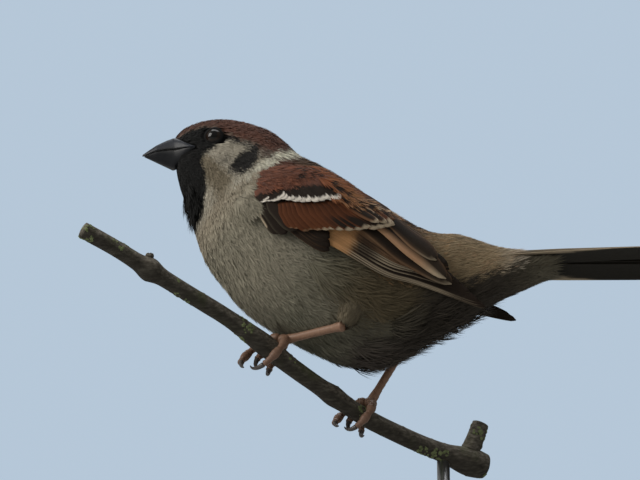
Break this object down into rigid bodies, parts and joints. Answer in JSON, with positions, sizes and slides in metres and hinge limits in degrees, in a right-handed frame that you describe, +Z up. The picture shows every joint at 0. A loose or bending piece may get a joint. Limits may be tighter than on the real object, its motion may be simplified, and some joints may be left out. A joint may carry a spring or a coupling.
{
  "type": "eurasian tree sparrow, life-size still display model",
  "caption": "Life-size small brown songbird with chestnut cap and black bib, gripping a short twig held over a round wooden base by one steel rod.",
  "frame": {"origin": "centre of the round base's underside, which is what the model stands on", "axes": "+Z up; the bird faces -X, its tail points to +X, its left side is towards -Y"},
  "size_m": [0.1477, 0.084, 0.1484],
  "materials": {
    "plumage_brown": "soft matt feather, brown",
    "plumage_pale": "soft matt feather, off-white to buff grey",
    "plumage_chestnut": "soft matt feather, chestnut",
    "flight_feathers": "smooth feather vanes, dark brown with buff edges, faint sheen",
    "horn_bill": "slate-black horn, satin",
    "horn_claw": "grey-brown horn, satin",
    "leg_skin": "scaled skin, pinkish brown",
    "eye": "very dark brown, high gloss",
    "bark": "rough grey-brown bark with lichen",
    "stand_wood": "dark stained hardwood, satin",
    "stand_steel": "brushed"
  },
  "bodies": {
    "root": {"head": "plumage_brown", "rump": "plumage_brown", "neck": "plumage_pale", "trunk": "plumage_pale", "thigh_left": "plumage_pale", "thigh_right": "plumage_pale", "bill_upper": "horn_bill", "bill_lower": "horn_bill", "eye_left": "eye", "eye_right": "eye", "tail": "flight_feathers", "wing_left_primaries": "flight_feathers", "wing_left_secondaries": "flight_feathers", "wing_left_tertials": "flight_feathers", "wing_left_coverts": "flight_feathers", "wing_right_primaries": "flight_feathers", "wing_right_secondaries": "flight_feathers", "wing_right_tertials": "flight_feathers", "wing_right_coverts": "flight_feathers", "wing_left_shoulder": "plumage_chestnut", "wing_right_shoulder": "plumage_chestnut", "tarsus_left": "leg_skin", "tarsus_right": "leg_skin", "foot_left": "leg_skin", "foot_right": "leg_skin", "claw_left_hind": "horn_claw", "claw_left_inner": "horn_claw", "claw_left_middle": "horn_claw", "claw_left_outer": "horn_claw", "claw_right_hind": "horn_claw", "claw_right_inner": "horn_claw", "claw_right_middle": "horn_claw", "claw_right_outer": "horn_claw", "perch_twig": "bark", "stand_base": "stand_wood", "stand_collar": "stand_steel", "stand_rod": "stand_steel"}
  },
  "joints": []
}
